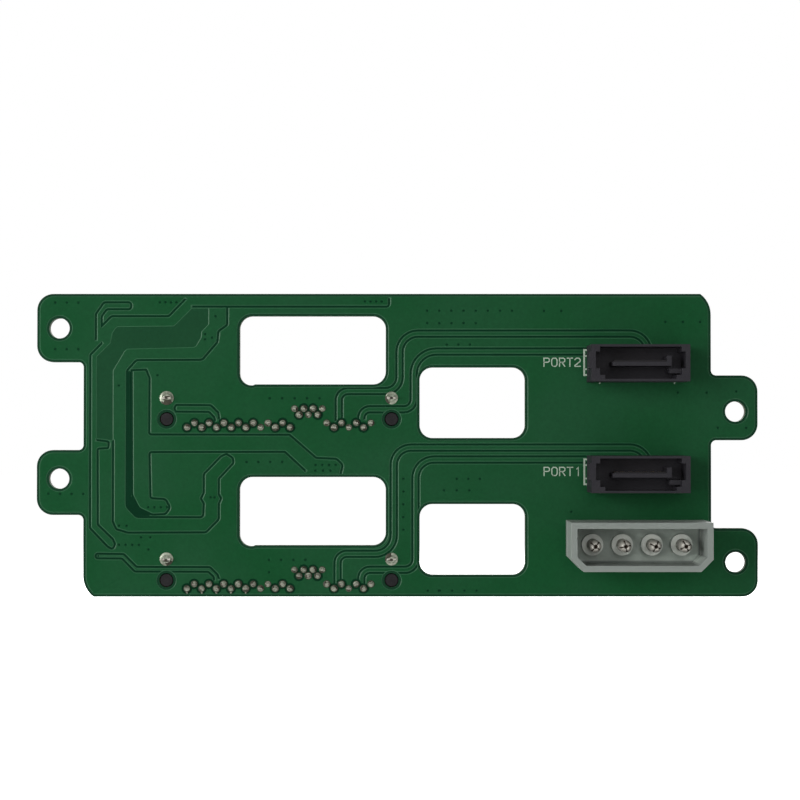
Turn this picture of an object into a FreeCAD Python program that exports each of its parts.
"""Drive backplane board for two 3.5-inch drives, one above the other.

A printed circuit board with four screw ears and four air cut-outs. Its -Y face carries two
seven-contact data headers and a four-pin power header. Its +Y face carries two drive receptacles.
Origin: centre of the board's outline, on the +Y (drive side) face. +Z is up, +X to the right
as seen from the header side. Millimetres.
"""

import FreeCAD, Part
import collections
import math
import os
import re

import Sketcher

SIZES = {
    # board
    "board_width": 108.4,
    "board_height": 52.3,
    "board_thickness": 1.6,
    "ear_reach": 8.05,
    "flush_ear_height": 11.8,
    "middle_ear_height": 11.2,
    "middle_ear_centre": 6.45,
    "ear_corner_radius": 2.8,
    "ear_root_radius": 0.9,
    "free_corner_radius": 4.4,
    "free_corner_drop": 3.55,
    "screw_hole_diameter": 3.5,
    "screw_hole_reach": 58.4,
    "outer_screw_height": 20.2,
    "inner_screw_height": 5.8,
    "cutout_corner_radius": 2.2,
    "left_cutout_width": 25.24,
    "left_cutout_height": 11.8,
    "left_cutout_x": -14.61,
    "left_cutout_z": 16.4,
    "right_cutout_width": 18.22,
    "right_cutout_height": 12.2,
    "right_cutout_x": 12.97,
    "right_cutout_z": 7.33,
    "right_cutout_pitch": 23.6,
    "bay_pitch": 27.8,
    # contacts, their board holes and their solder
    "contact_pitch": 1.27,
    "contact_width": 0.6,
    "contact_thickness": 0.2,
    "pin_hole_width": 0.8,
    "solder_width": 1.1,
    "solder_top_width": 0.76,
    "solder_height": 0.4,
    "tail_proud": 0.6,
    # drive receptacles
    "receptacle_x": -20.42,
    "receptacle_z": 4.5,
    "receptacle_length": 42.7,
    "receptacle_base_height": 2.4,
    "main_span": 31.75,
    "main_low_row": -1.43,
    "main_high_row": -0.66,
    "second_port_centre": 5.08,
    "second_port_pitch": 0.8,
    "second_contact_width": 0.4,
    "second_high_row": 1.81,
    "second_low_row": 0.76,
    "block_length": 35.2,
    "block_depth": 4.9,
    "block_height": 8.6,
    "flange_length": 4.2,
    "flange_reach": 5.3,
    "tower_length": 2.9,
    "tower_depth": 3.4,
    "tower_height": 10.0,
    "tower_chamfer": 0.9,
    "slot_length": 33.4,
    "slot_width": 1.25,
    "slot_floor": 2.0,
    "slot_key_length": 1.2,
    "slot_key_reach": 1.8,
    "slot_chamfer": 0.25,
    "comb_groove_width": 0.72,
    "comb_groove_reach": 1.9,
    "second_groove_width": 0.5,
    "second_groove_reach": 2.05,
    "groove_start": 0.45,
    "jog_start": 0.35,
    "jog_end": 1.3,
    "contact_bend": 5.2,
    "contact_crown": 6.7,
    "contact_crown_reach": 0.42,
    "contact_tip": 7.6,
    "contact_tip_reach": 0.95,
    "comb_lip": 0.7,
    "peg_spacing": 38.85,
    "peg_diameter": 2.1,
    "peg_hole_diameter": 2.45,
    "peg_length": 1.45,
    "receptacle_lock_row": 3.64,
    # board locks
    "lock_width": 1.5,
    "lock_thickness": 0.3,
    "lock_seat": 2.0,
    "lock_prong": 0.5,
    "lock_proud": 0.9,
    "lock_neck": 1.2,
    "lock_hole_width": 1.7,
    "lock_solder_width": 2.5,
    "lock_solder_top_width": 1.9,
    "lock_solder_height": 0.45,
    # data headers
    "header_x": 41.1,
    "header_z": 13.97,
    "header_pitch": 18.87,
    "header_length": 16.7,
    "header_depth": 6.25,
    "header_height": 8.4,
    "header_floor": 2.6,
    "header_side_wall": 0.4,
    "header_end_wall": 0.75,
    "header_corner_length": 1.45,
    "header_foot_length": 2.3,
    "header_foot_height": 1.05,
    "header_notch_bottom": -0.95,
    "header_notch_top": 1.9,
    "header_rib_reach": 0.42,
    "header_rib_start": 4.5,
    "header_base_recess": 1.6,
    "recess_length": 9.0,
    "recess_bottom": -1.65,
    "recess_top": 0.75,
    "tongue_left": -4.7,
    "tongue_right": 5.25,
    "tongue_bottom": -0.5,
    "tongue_top": 0.2,
    "tongue_height": 7.9,
    "tongue_key_width": 0.8,
    "tongue_key_top": 1.2,
    "shelf_left": 5.0,
    "shelf_bottom": -1.75,
    "shelf_top": -0.95,
    "shelf_height": 6.8,
    "header_near_row": 0.3,
    "header_far_row": -1.2,
    "header_jog_start": 0.3,
    "header_jog_end": 1.2,
    "header_contact_tip": 7.5,
    "header_lock_spacing": 13.8,
    # power header
    "power_x": 41.0,
    "power_z": -17.0,
    "power_length": 23.75,
    "power_depth": 8.2,
    "power_height": 11.0,
    "power_wall": 1.0,
    "power_chamfer": 2.05,
    "power_floor": 1.8,
    "power_pin_pitch": 5.08,
    "power_boss_diameter": 3.7,
    "power_boss_height": 3.4,
    "power_pin_diameter": 2.1,
    "power_pin_tip_diameter": 0.9,
    "power_pin_taper": 1.0,
    "power_pin_height": 9.2,
    "power_tail_width": 0.95,
    "power_tail_length": 2.6,
    "power_hole_diameter": 1.5,
    "power_solder_width": 2.6,
    "power_solder_top_width": 1.6,
    "power_solder_height": 0.7,
}

ALIAS = re.compile(r"[a-z]+(?:_[a-z]+)+")
HEADER_SIDE = -1
DRIVE_SIDE = 1
SMALL_HOLE_FLATS = 6
PEG_FLATS = 8

# A row of like contacts: place of the first one and the step along X, from the connector's centre.
Row = collections.namedtuple("Row", "x z step count")
# A soldered tail: its place, the alias that its solder's sizes start with, and the tail's section.
Joint = collections.namedtuple("Joint", "x z size tail_width tail_thickness")
POWER_ROWS = [
    Row("-main_span / 2", "main_low_row", "2 * contact_pitch", 8),
    Row("-main_span / 2 + contact_pitch", "main_high_row", "2 * contact_pitch", 7),
]
SIGNAL_ROWS = [
    Row("main_span / 2 - 6 * contact_pitch", "main_high_row", "2 * contact_pitch", 4),
    Row("main_span / 2 - 5 * contact_pitch", "main_low_row", "2 * contact_pitch", 3),
]
SECOND_PORT_ROWS = [
    Row("second_port_centre - 3 * second_port_pitch", "second_high_row", "2 * second_port_pitch", 4),
    Row("second_port_centre - 2 * second_port_pitch", "second_low_row", "2 * second_port_pitch", 3),
]
HEADER_ROWS = [
    Row("-3 * contact_pitch", "header_near_row", "2 * contact_pitch", 4),
    Row("-2 * contact_pitch", "header_far_row", "2 * contact_pitch", 3),
]

RECEPTACLES = {
    "upper": ("receptacle_x", "receptacle_z"),
    "lower": ("receptacle_x", "(receptacle_z - bay_pitch)"),
}
HEADERS = {
    "upper": ("header_x", "header_z"),
    "lower": ("header_x", "(header_z - header_pitch)"),
}

document = FreeCAD.newDocument("drive_backplane_board")
sheet = document.addObject("Spreadsheet::Sheet", "sizes")
for line, (alias, number) in enumerate(SIZES.items(), 1):
    sheet.set(f"A{line}", alias)
    sheet.set(f"B{line}", str(number))
    sheet.setAlias(f"B{line}", alias)
document.recompute()

NODES = []


def cells(expression):
    """The expression with each alias in it written as a cell of the sheet."""
    return ALIAS.sub(lambda word: "sizes." + word.group(0), expression)


def value(expression):
    """What the expression comes to, in millimetres."""
    numbers = ALIAS.sub(lambda word: f"({sheet.get(word.group(0))})", expression)
    return FreeCAD.Units.Quantity(numbers).Value


class Outline:
    """A sketch of one body whose corners and radii are tied to the sheet."""

    def __init__(self, body, name, plane, offset):
        planes = {feature.Role: feature for feature in body.Origin.OriginFeatures}
        self.sketch = body.newObject("Sketcher::SketchObject", name)
        self.sketch.AttachmentSupport = [(planes[plane], "")]
        self.sketch.MapMode = "FlatFace"
        self.sketch.setExpression("AttachmentOffset.Base.z", cells(offset))

    def tie(self, kind, expression, *ends):
        """Adds a dimension and binds it to the expression."""
        index = self.sketch.addConstraint(Sketcher.Constraint(kind, *ends, value(expression)))
        self.sketch.setExpression(f"Constraints[{index}]", cells(expression))

    def edge(self, start, end, radius):
        """A straight edge, or an arc that bulges to the right of the way from start to end."""
        if radius is None:
            return Part.LineSegment(start, end)
        chord = end - start
        left = FreeCAD.Vector(-chord.y, chord.x, 0).normalize()
        sagitta = math.sqrt(value(radius) ** 2 - (chord.Length / 2) ** 2)
        centre = (start + end) / 2 + left * sagitta
        first = math.atan2(start.y - centre.y, start.x - centre.x)
        last = math.atan2(end.y - centre.y, end.x - centre.x)
        circle = Part.Circle(centre, FreeCAD.Vector(0, 0, 1), value(radius))
        return Part.ArcOfCircle(circle, first, last + 2 * math.pi * (last < first))

    def path(self, corners, closed=False):
        """Edges through the corners. A corner's third item is the radius of the arc that leaves it."""
        base = self.sketch.GeometryCount
        points = [FreeCAD.Vector(value(corner[0]), value(corner[1]), 0) for corner in corners]
        count = len(points) if closed else len(points) - 1
        for i in range(count):
            radius = corners[i][2] if len(corners[i]) > 2 else None
            after = points[(i + 1) % len(points)]
            self.sketch.addGeometry(self.edge(points[i], after, radius), False)
        for i in range(count):
            if i or closed:
                before = base + (i - 1) % count
                self.sketch.addConstraint(Sketcher.Constraint("Coincident", before, 2, base + i, 1))
            self.tie("DistanceX", corners[i][0], -1, 1, base + i, 1)
            self.tie("DistanceY", corners[i][1], -1, 1, base + i, 1)
            if len(corners[i]) > 2:
                self.tie("Radius", corners[i][2], base + i)
        if not closed:
            self.tie("DistanceX", corners[-1][0], -1, 1, base + count - 1, 2)
            self.tie("DistanceY", corners[-1][1], -1, 1, base + count - 1, 2)
        return self

    def polygon(self, corners):
        return self.path(corners, closed=True)

    def rectangle(self, left, right, bottom, top):
        return self.polygon([(left, bottom), (right, bottom), (right, top), (left, top)])

    def circle(self, x, z, diameter):
        centre = FreeCAD.Vector(value(x), value(z), 0)
        shape = Part.Circle(centre, FreeCAD.Vector(0, 0, 1), value(diameter) / 2)
        index = self.sketch.addGeometry(shape, False)
        self.tie("DistanceX", x, -1, 1, index, 3)
        self.tie("DistanceY", z, -1, 1, index, 3)
        self.tie("Diameter", diameter, index)
        return self


class Piece:
    """A body that stands on a face of the board and rises away from it along Y."""

    def __init__(self, name, x, z, side, exported=True):
        self.side = side
        self.body = document.addObject("PartDesign::Body", name)
        self.body.Label = name
        self.body.AllowCompound = True
        if exported:
            NODES.append(self.body)
        self.body.setExpression("Placement.Base.x", cells(x))
        self.body.setExpression("Placement.Base.z", cells(z))
        if side == HEADER_SIDE:
            self.body.setExpression("Placement.Base.y", cells("-board_thickness"))

    def plan(self, name, height="0"):
        """A sketch parallel to the board, at a height above the face that the piece stands on."""
        return Outline(self.body, name, "XZ_Plane", f"{-self.side} * ({height})")

    def profile(self, name, offset="0"):
        """A sketch in the XY plane."""
        return Outline(self.body, name, "XY_Plane", offset)

    def extrude(self, kind, name, outline, length, upward):
        feature = self.body.newObject("PartDesign::" + kind, name)
        feature.Profile = outline.sketch
        feature.setExpression("Length", cells(length))
        along_normal = upward == (self.side == HEADER_SIDE)
        feature.Reversed = along_normal == (kind == "Pocket")
        document.recompute()
        return feature

    def pad(self, name, outline, length, upward=True):
        return self.extrude("Pad", name, outline, length, upward)

    def pocket(self, name, outline, length, upward=False):
        return self.extrude("Pocket", name, outline, length, upward)

    def turn(self, name, outline):
        """A full turn of a half section about the Y axis of an XY sketch."""
        feature = self.body.newObject("PartDesign::Revolution", name)
        feature.Profile = outline.sketch
        feature.ReferenceAxis = (outline.sketch, ["V_Axis"])
        feature.Angle = 360
        document.recompute()
        return feature

    def slab(self, name, outline, thickness):
        """A pad with half its thickness on each side of its sketch."""
        feature = self.body.newObject("PartDesign::Pad", name)
        feature.Profile = outline.sketch
        feature.SideType = "Symmetric"
        feature.setExpression("Length", cells(thickness))
        document.recompute()
        return feature

    def strip(self, name, section, route):
        """A flat strip with a rectangular section that follows a route with mitred bends."""
        feature = self.body.newObject("PartDesign::AdditivePipe", name)
        feature.Profile = section.sketch
        feature.Spine = (route.sketch, [])
        feature.Transition = "Right corner"
        document.recompute()
        return feature

    def repeat(self, name, features, outline, step, count, axis="H_Axis"):
        """Repeats features along an axis of a sketch."""
        pattern = self.body.newObject("PartDesign::LinearPattern", name)
        pattern.Originals = features
        pattern.Direction = (outline.sketch, [axis])
        pattern.Mode = "Spacing"
        pattern.setExpression("Offset", cells(step))
        pattern.Occurrences = count
        self.body.Tip = pattern
        document.recompute()
        return pattern

    def dress(self, kind, name, base, edges, size):
        """A fillet or chamfer on the edges of a feature that pass the test."""
        document.recompute()
        names = [f"Edge{i}" for i, edge in enumerate(base.Shape.Edges, 1) if edges(edge)]
        feature = self.body.newObject("PartDesign::" + kind, name)
        feature.Base = (base, names)
        feature.setExpression("Radius" if kind == "Fillet" else "Size", cells(size))
        document.recompute()
        return feature


def upright_at(corners):
    """Test for the edges along Y that stand on one of the corners."""
    places = [(value(x), value(z)) for x, z in corners]

    def passes(edge):
        box = edge.BoundBox
        if box.XLength + box.ZLength > 1e-3:
            return False
        return any(math.hypot(box.XMin - x, box.ZMin - z) < 0.01 for x, z in places)

    return passes


def level_within(height, left, right, bottom, top):
    """Test for the edges at one height (in Y) that lie inside a rectangle of the plan."""
    y, x0, x1, z0, z1 = (value(expression) for expression in (height, left, right, bottom, top))

    def passes(edge):
        box = edge.BoundBox
        level = abs(box.YMin - y) + abs(box.YMax - y) < 1e-3
        return level and box.XMin > x0 and box.XMax < x1 and box.ZMin > z0 and box.ZMax < z1

    return passes


def grid(xs, zs):
    return [(x, z) for x in xs for z in zs]


def make_board():
    """The laminate: outline with four ears, air cut-outs, and every drilled hole."""
    piece = Piece("board_blank", "0", "0", DRIVE_SIDE, exported=False)
    side, edge = "board_width / 2", "board_height / 2"
    ear = f"({side} + ear_reach)"
    flush = f"({edge} - flush_ear_height)"
    ear_bottom = "(middle_ear_centre - middle_ear_height / 2)"
    ear_top = "(middle_ear_centre + middle_ear_height / 2)"
    arc_end = (
        f"({side} - free_corner_radius + sqrt(free_corner_radius * free_corner_radius"
        " - free_corner_drop * free_corner_drop))"
    )
    half_turn = [
        (ear, f"-{edge}"),
        (ear, f"-{flush}"),
        (side, f"-{flush}"),
        (side, ear_bottom),
        (ear, ear_bottom),
        (ear, ear_top),
        (side, ear_top),
        (side, f"{edge} - free_corner_drop", "free_corner_radius"),
        (arc_end, edge),
    ]
    opposite = [(f"-({x})", f"-({z})", *radius) for x, z, *radius in half_turn]
    outline = piece.plan("outline").polygon(half_turn + opposite)
    laminate = piece.pad("laminate", outline, "board_thickness", upward=False)

    cutouts = piece.plan("cutout_outlines")
    cutout_corners = []
    for name, pitch in (("left", "bay_pitch"), ("right", "right_cutout_pitch")):
        for drop in ("0", pitch):
            left = f"{name}_cutout_x - {name}_cutout_width / 2"
            right = f"{name}_cutout_x + {name}_cutout_width / 2"
            bottom = f"{name}_cutout_z - {name}_cutout_height / 2 - {drop}"
            top = f"{name}_cutout_z + {name}_cutout_height / 2 - {drop}"
            cutouts.rectangle(left, right, bottom, top)
            cutout_corners += grid((left, right), (bottom, top))
    opened = piece.pocket("cutouts", cutouts, "board_thickness", upward=False)

    tips = [(ear, f"-{edge}"), (ear, f"-{flush}"), (ear, ear_bottom), (ear, ear_top)]
    tips += [(f"-{x}", f"-({z})") for x, z in tips]
    roots = [(side, f"-{flush}"), (side, ear_bottom), (side, ear_top)]
    roots += [(f"-{x}", f"-({z})") for x, z in roots]
    rounded = piece.dress("Fillet", "ear_corners", opened, upright_at(tips), "ear_corner_radius")
    rooted = piece.dress("Fillet", "ear_roots", rounded, upright_at(roots), "ear_root_radius")
    piece.dress("Fillet", "cutout_corners", rooted, upright_at(cutout_corners), "cutout_corner_radius")

    screws = piece.plan("screw_holes")
    for sign in ("-", ""):
        other = "" if sign else "-"
        screws.circle(f"{sign}screw_hole_reach", f"{other}outer_screw_height", "screw_hole_diameter")
        screws.circle(f"{sign}screw_hole_reach", f"{sign}inner_screw_height", "screw_hole_diameter")
    piece.pocket("drilled_screw_holes", screws, "board_thickness", upward=False)

    drills = []
    for i in range(4):
        pin_x = f"power_x + ({i - 1.5}) * power_pin_pitch"
        drills.append(drill(pin_x, "power_z", "power_hole_diameter", PEG_FLATS))
    for x, z in RECEPTACLES.values():
        for sign in ("-", "+"):
            peg_x = f"{x} {sign} peg_spacing / 2"
            drills.append(drill(peg_x, z, "peg_hole_diameter", PEG_FLATS))
            drills.append(drill(peg_x, f"{z} + receptacle_lock_row", "lock_hole_width", SMALL_HOLE_FLATS))
        drills += drill_rows(x, z, POWER_ROWS + SIGNAL_ROWS + SECOND_PORT_ROWS)
    for x, z in HEADERS.values():
        for sign in ("-", "+"):
            lock_x = f"{x} {sign} header_lock_spacing / 2"
            drills.append(drill(lock_x, z, "lock_hole_width", SMALL_HOLE_FLATS))
        drills += drill_rows(x, z, HEADER_ROWS)
    tools = document.addObject("Part::Compound", "drills")
    tools.Links = drills
    board = document.addObject("Part::Cut", "board")
    board.Base = piece.body
    board.Tool = tools
    NODES.append(board)


def drill(x, z, width, flats):
    """A prism that drills a small hole through the board. Its flats lie on the drill's circle."""
    prism = document.addObject("Part::Prism", "drill")
    prism.Polygon = flats
    prism.setExpression("Circumradius", cells(f"{width} / 2 / {math.cos(math.pi / flats):.6f}"))
    prism.setExpression("Height", cells("3 * board_thickness"))
    prism.Placement.Rotation = FreeCAD.Rotation(FreeCAD.Vector(1, 0, 0), 90)
    prism.setExpression("Placement.Base.x", cells(x))
    prism.setExpression("Placement.Base.y", cells("board_thickness"))
    prism.setExpression("Placement.Base.z", cells(z))
    return prism


def drill_rows(x, z, rows):
    """The drills for rows of contacts round a connector's centre."""
    return [
        drill(f"{x} + {row.x} + {i} * {row.step}", f"{z} + {row.z}", "pin_hole_width", SMALL_HOLE_FLATS)
        for row in rows
        for i in range(row.count)
    ]


def make_receptacle_housing(name, x, z):
    """The moulded receptacle: keyed slot, comb of contact grooves, guide towers, flanges and pegs."""
    piece = Piece(f"{name}_receptacle_housing", x, z, DRIVE_SIDE)
    half, inner = "receptacle_length / 2", "(receptacle_length / 2 - flange_length)"
    deep = "block_depth / 2"
    base = piece.plan("base").polygon(
        [
            (f"-{half}", f"-{deep}"),
            (half, f"-{deep}"),
            (half, "flange_reach"),
            (inner, "flange_reach"),
            (inner, deep),
            (f"-{inner}", deep),
            (f"-{inner}", "flange_reach"),
            (f"-{half}", "flange_reach"),
        ]
    )
    piece.pad("base_plate", base, "receptacle_base_height")
    block = piece.plan("block").rectangle("-block_length / 2", "block_length / 2", f"-{deep}", deep)
    piece.pad("mating_block", block, "block_height")
    towers = piece.plan("towers")
    towers.rectangle(f"-{half}", f"-{half} + tower_length", "-tower_depth / 2", "tower_depth / 2")
    towers.rectangle(f"{half} - tower_length", half, "-tower_depth / 2", "tower_depth / 2")
    guides = piece.pad("guide_towers", towers, "tower_height")
    tips = level_within("tower_height", f"-{half} - 1", f"{half} + 1", "-tower_depth", "tower_depth")
    piece.dress("Chamfer", "tower_lead_in", guides, tips, "tower_chamfer")

    end, key = "slot_length / 2", "(slot_length / 2 - slot_key_length)"
    wall = "slot_width / 2"
    slot = piece.plan("slot", "block_height").polygon(
        [
            (f"-{end}", f"-{wall}"),
            (end, f"-{wall}"),
            (end, "slot_key_reach"),
            (key, "slot_key_reach"),
            (key, wall),
            (f"-{key}", wall),
            (f"-{key}", "slot_key_reach"),
            (f"-{end}", "slot_key_reach"),
        ]
    )
    opened = piece.pocket("keyed_slot", slot, "block_height - slot_floor")
    mouth = level_within("block_height", f"-{end} - 0.1", f"{end} + 0.1", f"-{wall} - 0.1", "slot_key_reach + 0.1")
    piece.dress("Chamfer", "slot_lead_in", opened, mouth, "slot_chamfer")

    combs = [
        ("power_comb", "-main_span / 2", "comb_groove_width", "-comb_groove_reach", "-groove_start", 15),
        ("signal_comb", "main_span / 2 - 6 * contact_pitch", "comb_groove_width", "-comb_groove_reach",
         "-groove_start", 7),
        ("second_port_comb", "second_port_centre - 3 * second_port_pitch", "second_groove_width",
         "groove_start", "second_groove_reach", 7),
    ]
    for title, first, width, bottom, top, count in combs:
        step = "second_port_pitch" if "second" in title else "contact_pitch"
        groove = piece.plan(title + "_first", "block_height - comb_lip")
        groove.rectangle(f"{first} - {width} / 2", f"{first} + {width} / 2", bottom, top)
        cut = piece.pocket(title + "_groove", groove, "block_height - comb_lip")
        piece.repeat(title, [cut], groove, step, count)

    locks = piece.plan("lock_seats")
    pegs = piece.plan("pegs")
    for sign in ("-", ""):
        middle = f"{sign}peg_spacing / 2"
        locks.rectangle(
            f"{middle} - lock_width / 2",
            f"{middle} + lock_width / 2",
            "receptacle_lock_row - lock_thickness / 2",
            "receptacle_lock_row + lock_thickness / 2",
        )
        pegs.circle(middle, "0", "peg_diameter")
    piece.pocket("lock_pockets", locks, "lock_seat", upward=True)
    piece.pad("board_pegs", pegs, "peg_length", upward=False)


def add_contacts(piece, rows, width, bend):
    """Bent contact strips in rows. bend gives the route after the tail, as (y, z) corners."""
    tail = f"{-piece.side} * (board_thickness + tail_proud)"
    for i, row in enumerate(rows, 1):
        section = piece.plan(f"section_{i}", "-board_thickness - tail_proud")
        contact_rectangle(section, row, width)
        route = Outline(piece.body, f"route_{i}", "YZ_Plane", row.x).path([(tail, row.z)] + bend(row.z))
        strip = piece.strip(f"strip_{i}", section, route)
        if row.count > 1:
            piece.repeat(f"bank_{i}", [strip], section, row.step, row.count)


def make_receptacle_contacts(name, x, z):
    """The three banks of contacts: each strip lies on its groove's back and crowns into the slot."""
    banks = [
        ("power_contacts", POWER_ROWS, "contact_width", "-", "comb_groove_reach"),
        ("signal_contacts", SIGNAL_ROWS, "contact_width", "-", "comb_groove_reach"),
        ("second_port_contacts", SECOND_PORT_ROWS, "second_contact_width", "", "second_groove_reach"),
    ]
    for title, rows, width, sign, reach in banks:
        piece = Piece(f"{name}_receptacle_{title}", x, z, DRIVE_SIDE)
        back = f"{sign}({reach} - contact_thickness / 2)"

        def bend(tail_row, sign=sign, back=back):
            return [
                ("jog_start", tail_row),
                ("jog_end", back),
                ("contact_bend", back),
                ("contact_crown", f"{sign}contact_crown_reach"),
                ("contact_tip", f"{sign}contact_tip_reach"),
            ]

        add_contacts(piece, rows, width, bend)


def make_lock(name, x, z, side):
    """A stamped board lock: a flat blade in the housing and two prongs through the board."""
    piece = Piece(name, x, z, side)
    half = "lock_width / 2"
    gap = "(lock_width / 2 - lock_prong)"
    top = f"{side} * lock_seat"
    neck = f"{side} * lock_neck"
    end = f"{-side} * (board_thickness + lock_proud)"
    corners = [
        (f"-{half}", top),
        (f"-{half}", end),
        (f"-{gap}", end),
        (f"-{gap}", neck),
        (gap, neck),
        (gap, end),
        (half, end),
        (half, top),
    ]
    piece.slab("blade", piece.profile("fork").polygon(corners), "lock_thickness")


def contact_rectangle(outline, row, width):
    """The section of a contact tail at the first place of its row."""
    return outline.rectangle(
        f"{row.x} - {width} / 2",
        f"{row.x} + {width} / 2",
        f"{row.z} - contact_thickness / 2",
        f"{row.z} + contact_thickness / 2",
    )


def row_joints(rows, tail_width):
    """One joint for each contact of the rows."""
    return [
        Joint(f"{row.x} + {i} * {row.step}", row.z, "solder", tail_width, "contact_thickness")
        for row in rows
        for i in range(row.count)
    ]


def lock_joints(spacing, row):
    """The joints of the two board locks."""
    size = ("lock_solder", "lock_width", "lock_thickness")
    return [Joint(f"{sign}{spacing} / 2", row, *size) for sign in ("-", "")]


def solder_cone(joint, flats=SMALL_HOLE_FLATS):
    """A low cone of solder with flat sides, seated on y = 0, with the tail's section left open."""
    x, z, height = value(joint.x), value(joint.z), value(joint.size + "_height")
    rings = []
    for width, y in ((value(joint.size + "_width"), 0), (value(joint.size + "_top_width"), -height)):
        radius = width / 2 / math.cos(math.pi / flats)
        turns = [2 * math.pi * i / flats for i in range(flats)]
        rings.append([FreeCAD.Vector(x + radius * math.cos(a), y, z + radius * math.sin(a)) for a in turns])
    low, high = rings
    faces = [Part.Face(Part.makePolygon(ring + ring[:1])) for ring in rings]
    for i in range(flats):
        after = (i + 1) % flats
        faces.append(Part.Face(Part.makePolygon([low[i], low[after], high[after], high[i], low[i]])))
    cone = Part.Solid(Part.Shell(faces))
    wide, thick = value(joint.tail_width), value(joint.tail_thickness)
    corner = FreeCAD.Vector(x - wide / 2, -2 * height, z - thick / 2)
    return cone.cut(Part.makeBox(wide, 3 * height, thick, corner))


def make_solder(name, x, z, side, joints):
    """All the joints of one connector, on the face of the board that its tails come through."""
    node = document.addObject("Part::Feature", name)
    shape = Part.Compound([solder_cone(joint) for joint in joints])
    if side == DRIVE_SIDE:
        shape = shape.mirror(FreeCAD.Vector(0, 0, 0), FreeCAD.Vector(0, 1, 0))
    node.Shape = shape
    node.setExpression("Placement.Base.x", cells(x))
    node.setExpression("Placement.Base.z", cells(z))
    if side == HEADER_SIDE:
        node.setExpression("Placement.Base.y", cells("-board_thickness"))
    NODES.append(node)


def make_receptacle(name, x, z):
    """One drive receptacle with its contacts, board locks and solder."""
    make_receptacle_housing(name, x, z)
    make_receptacle_contacts(name, x, z)
    for title, sign in (("left", "-"), ("right", "+")):
        lock_x = f"{x} {sign} peg_spacing / 2"
        make_lock(f"{name}_receptacle_lock_{title}", lock_x, f"{z} + receptacle_lock_row", DRIVE_SIDE)
    joints = row_joints(POWER_ROWS + SIGNAL_ROWS, "contact_width")
    joints += row_joints(SECOND_PORT_ROWS, "second_contact_width")
    joints += lock_joints("peg_spacing", "receptacle_lock_row")
    make_solder(f"{name}_receptacle_solder", x, z, HEADER_SIDE, joints)


def make_header_housing(name, x, z):
    """The moulded shroud of a data header, with its keyed tongue, stepped corners and shelf."""
    piece = Piece(f"{name}_data_housing", x, z, HEADER_SIDE)
    half, deep = "header_length / 2", "header_depth / 2"
    block = piece.plan("block").rectangle(f"-{half}", half, f"-{deep}", deep)
    piece.pad("shroud", block, "header_height")
    rib = piece.plan("rib", "header_rib_start")
    rib.rectangle(f"-{half} - header_rib_reach", f"-{half}", "header_notch_bottom", "header_notch_top")
    piece.pad("end_rib", rib, "header_height - header_rib_start")

    end = f"({half} - header_end_wall)"
    corner = f"({half} - header_corner_length)"
    foot = f"({half} - header_foot_length)"
    bottom = f"(header_side_wall - {deep})"
    top = f"({deep} - header_side_wall)"
    foot_top = f"(header_foot_height - {deep})"
    right = [
        (foot, bottom),
        (foot, foot_top),
        (corner, foot_top),
        (corner, "header_notch_bottom"),
        (end, "header_notch_bottom"),
        (end, "header_notch_top"),
        (corner, "header_notch_top"),
        (corner, top),
    ]
    left = [(f"-{x_right}", z_right) for x_right, z_right in reversed(right)]
    cavity = piece.plan("cavity", "header_height").polygon(right + left)
    piece.pocket("plug_cavity", cavity, "header_height - header_floor")

    tongue = piece.plan("tongue_section", "header_floor").polygon(
        [
            ("tongue_left", "tongue_bottom"),
            ("tongue_right", "tongue_bottom"),
            ("tongue_right", "tongue_key_top"),
            ("tongue_right - tongue_key_width", "tongue_key_top"),
            ("tongue_right - tongue_key_width", "tongue_top"),
            ("tongue_left", "tongue_top"),
        ]
    )
    piece.pad("keyed_tongue", tongue, "tongue_height - header_floor")
    shelf = piece.plan("shelf_outline", "header_floor")
    shelf.rectangle("shelf_left", corner, "shelf_bottom", "shelf_top")
    piece.pad("shelf", shelf, "shelf_height - header_floor")

    recess = piece.plan("recess_outline")
    recess.rectangle("-recess_length / 2", "recess_length / 2", "recess_bottom", "recess_top")
    piece.pocket("base_recess", recess, "header_base_recess", upward=True)
    first = Row("-3 * contact_pitch", "header_near_row", "contact_pitch", 7)
    slot = contact_rectangle(piece.plan("contact_slot", "header_floor"), first, "contact_width")
    cut = piece.pocket("contact_slot_cut", slot, "header_floor")
    piece.repeat("contact_slots", [cut], slot, first.step, first.count)

    seats = piece.plan("lock_seats")
    for sign in ("-", ""):
        middle = f"{sign}header_lock_spacing / 2"
        seats.rectangle(
            f"{middle} - lock_width / 2",
            f"{middle} + lock_width / 2",
            "-lock_thickness / 2",
            "lock_thickness / 2",
        )
    piece.pocket("lock_pockets", seats, "lock_seat", upward=True)


def make_data_header(name, x, z):
    """One vertical seven-contact data header with its contacts, board locks and solder."""
    make_header_housing(name, x, z)
    for i in range(7):
        row = Row("0", HEADER_ROWS[i % 2].z, "contact_pitch", 1)
        contact_x = f"{x} + ({i - 3}) * contact_pitch"
        piece = Piece(f"{name}_data_contact_{i + 1}", contact_x, z, HEADER_SIDE)
        add_contacts(piece, [row], "contact_width", header_bend)
    for title, sign in (("left", "-"), ("right", "+")):
        make_lock(f"{name}_data_lock_{title}", f"{x} {sign} header_lock_spacing / 2", z, HEADER_SIDE)
    joints = row_joints(HEADER_ROWS, "contact_width") + lock_joints("header_lock_spacing", "0")
    make_solder(f"{name}_data_solder", x, z, DRIVE_SIDE, joints)


def header_bend(tail_row):
    """A header contact from its tail to the tongue: straight, or by a jog under the floor."""
    rise = [("-header_contact_tip", "header_near_row")]
    if tail_row == "header_near_row":
        return rise
    return [("-header_jog_start", tail_row), ("-header_jog_end", "header_near_row")] + rise


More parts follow.
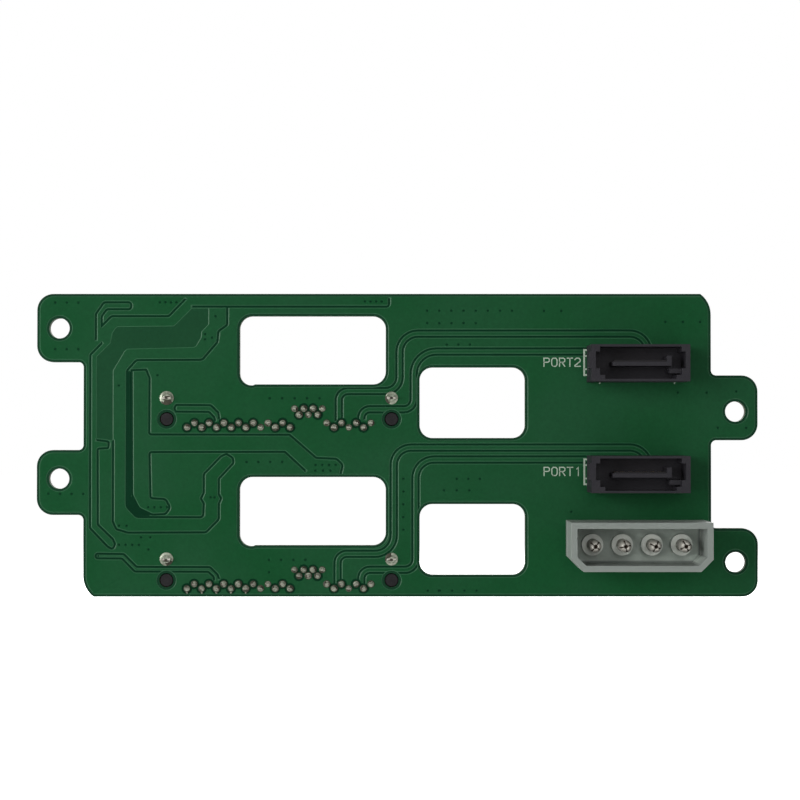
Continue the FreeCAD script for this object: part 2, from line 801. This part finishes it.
def chamfered_plan(outline, inset, cut):
    """The power header's plan, set in by a wall, with its two lower corners cut off."""
    half = f"(power_length / 2 - {inset})"
    deep = f"(power_depth / 2 - {inset})"
    return outline.polygon(
        [
            (f"-{half} + {cut}", f"-{deep}"),
            (f"{half} - {cut}", f"-{deep}"),
            (half, f"-{deep} + {cut}"),
            (half, deep),
            (f"-{half}", deep),
            (f"-{half}", f"-{deep} + {cut}"),
        ]
    )


def make_power_header():
    """The four-pin power header: nylon shell with two keyed corners, round pins and solder."""
    shell = Piece("power_housing", "power_x", "power_z", HEADER_SIDE)
    outside = chamfered_plan(shell.plan("outside"), "0", "power_chamfer")
    shell.pad("shell", outside, "power_height")
    inner_cut = f"(power_chamfer - {2 - math.sqrt(2):.4f} * power_wall)"
    inside = chamfered_plan(shell.plan("inside", "power_height"), "power_wall", inner_cut)
    shell.pocket("plug_cavity", inside, "power_height - power_floor")
    bosses = shell.plan("boss_outlines", "power_floor")
    holes = shell.plan("stem_hole_outlines")
    edge = "power_tail_width / 2"
    for i in range(4):
        place = f"({i - 1.5}) * power_pin_pitch"
        bosses.circle(place, "0", "power_boss_diameter")
        holes.rectangle(f"{place} - {edge}", f"{place} + {edge}", f"-{edge}", edge)
    shell.pad("pin_bosses", bosses, "power_boss_height - power_floor")
    shell.pocket("stem_holes", holes, "power_boss_height", upward=True)

    for i in range(4):
        place = f"power_x + ({i - 1.5}) * power_pin_pitch"
        pin = Piece(f"power_pin_{i + 1}", place, "power_z", HEADER_SIDE)
        section = pin.profile("half_section").polygon(
            [
                ("0", "-power_boss_height"),
                ("0", "-power_pin_height"),
                ("power_pin_tip_diameter / 2", "-power_pin_height"),
                ("power_pin_diameter / 2", "power_pin_taper - power_pin_height"),
                ("power_pin_diameter / 2", "-power_boss_height"),
            ]
        )
        pin.turn("turned_pin", section)
        stem = pin.plan("stem_section", "power_boss_height").rectangle(f"-{edge}", edge, f"-{edge}", edge)
        pin.pad("stem", stem, "power_boss_height + power_tail_length", upward=False)

    places = [f"({i - 1.5}) * power_pin_pitch" for i in range(4)]
    joints = [Joint(place, "0", "power_solder", "power_tail_width", "power_tail_width") for place in places]
    make_solder("power_solder", "power_x", "power_z", DRIVE_SIDE, joints)


def check_document():
    """Stops on any failed object, on a cut that removed nothing, and on a bad or empty shape."""
    for item in document.Objects:
        if "Invalid" in item.State or "Error" in item.State:
            raise RuntimeError(f"{item.Name} failed to build: {item.State}")
        if item.TypeId == "PartDesign::Pocket" and item.Shape.Volume >= item.BaseFeature.Shape.Volume:
            raise RuntimeError(f"{item.Name} cuts nothing")
    for node in NODES:
        if node.Shape.isNull() or not node.Shape.isValid() or node.Shape.Volume <= 0:
            raise RuntimeError(f"{node.Label} has a bad shape")


def write_parts():
    os.makedirs("parts", exist_ok=True)
    for node in NODES:
        node.Shape.exportStep(f"parts/{node.Label}.step")
        print(node.Label, len(node.Shape.Solids), "solids", round(node.Shape.Volume, 2), "mm3")


make_board()
for title, (x, z) in RECEPTACLES.items():
    make_receptacle(title, x, z)
for title, (x, z) in HEADERS.items():
    make_data_header(title, x, z)
make_power_header()
document.recompute()
check_document()
write_parts()
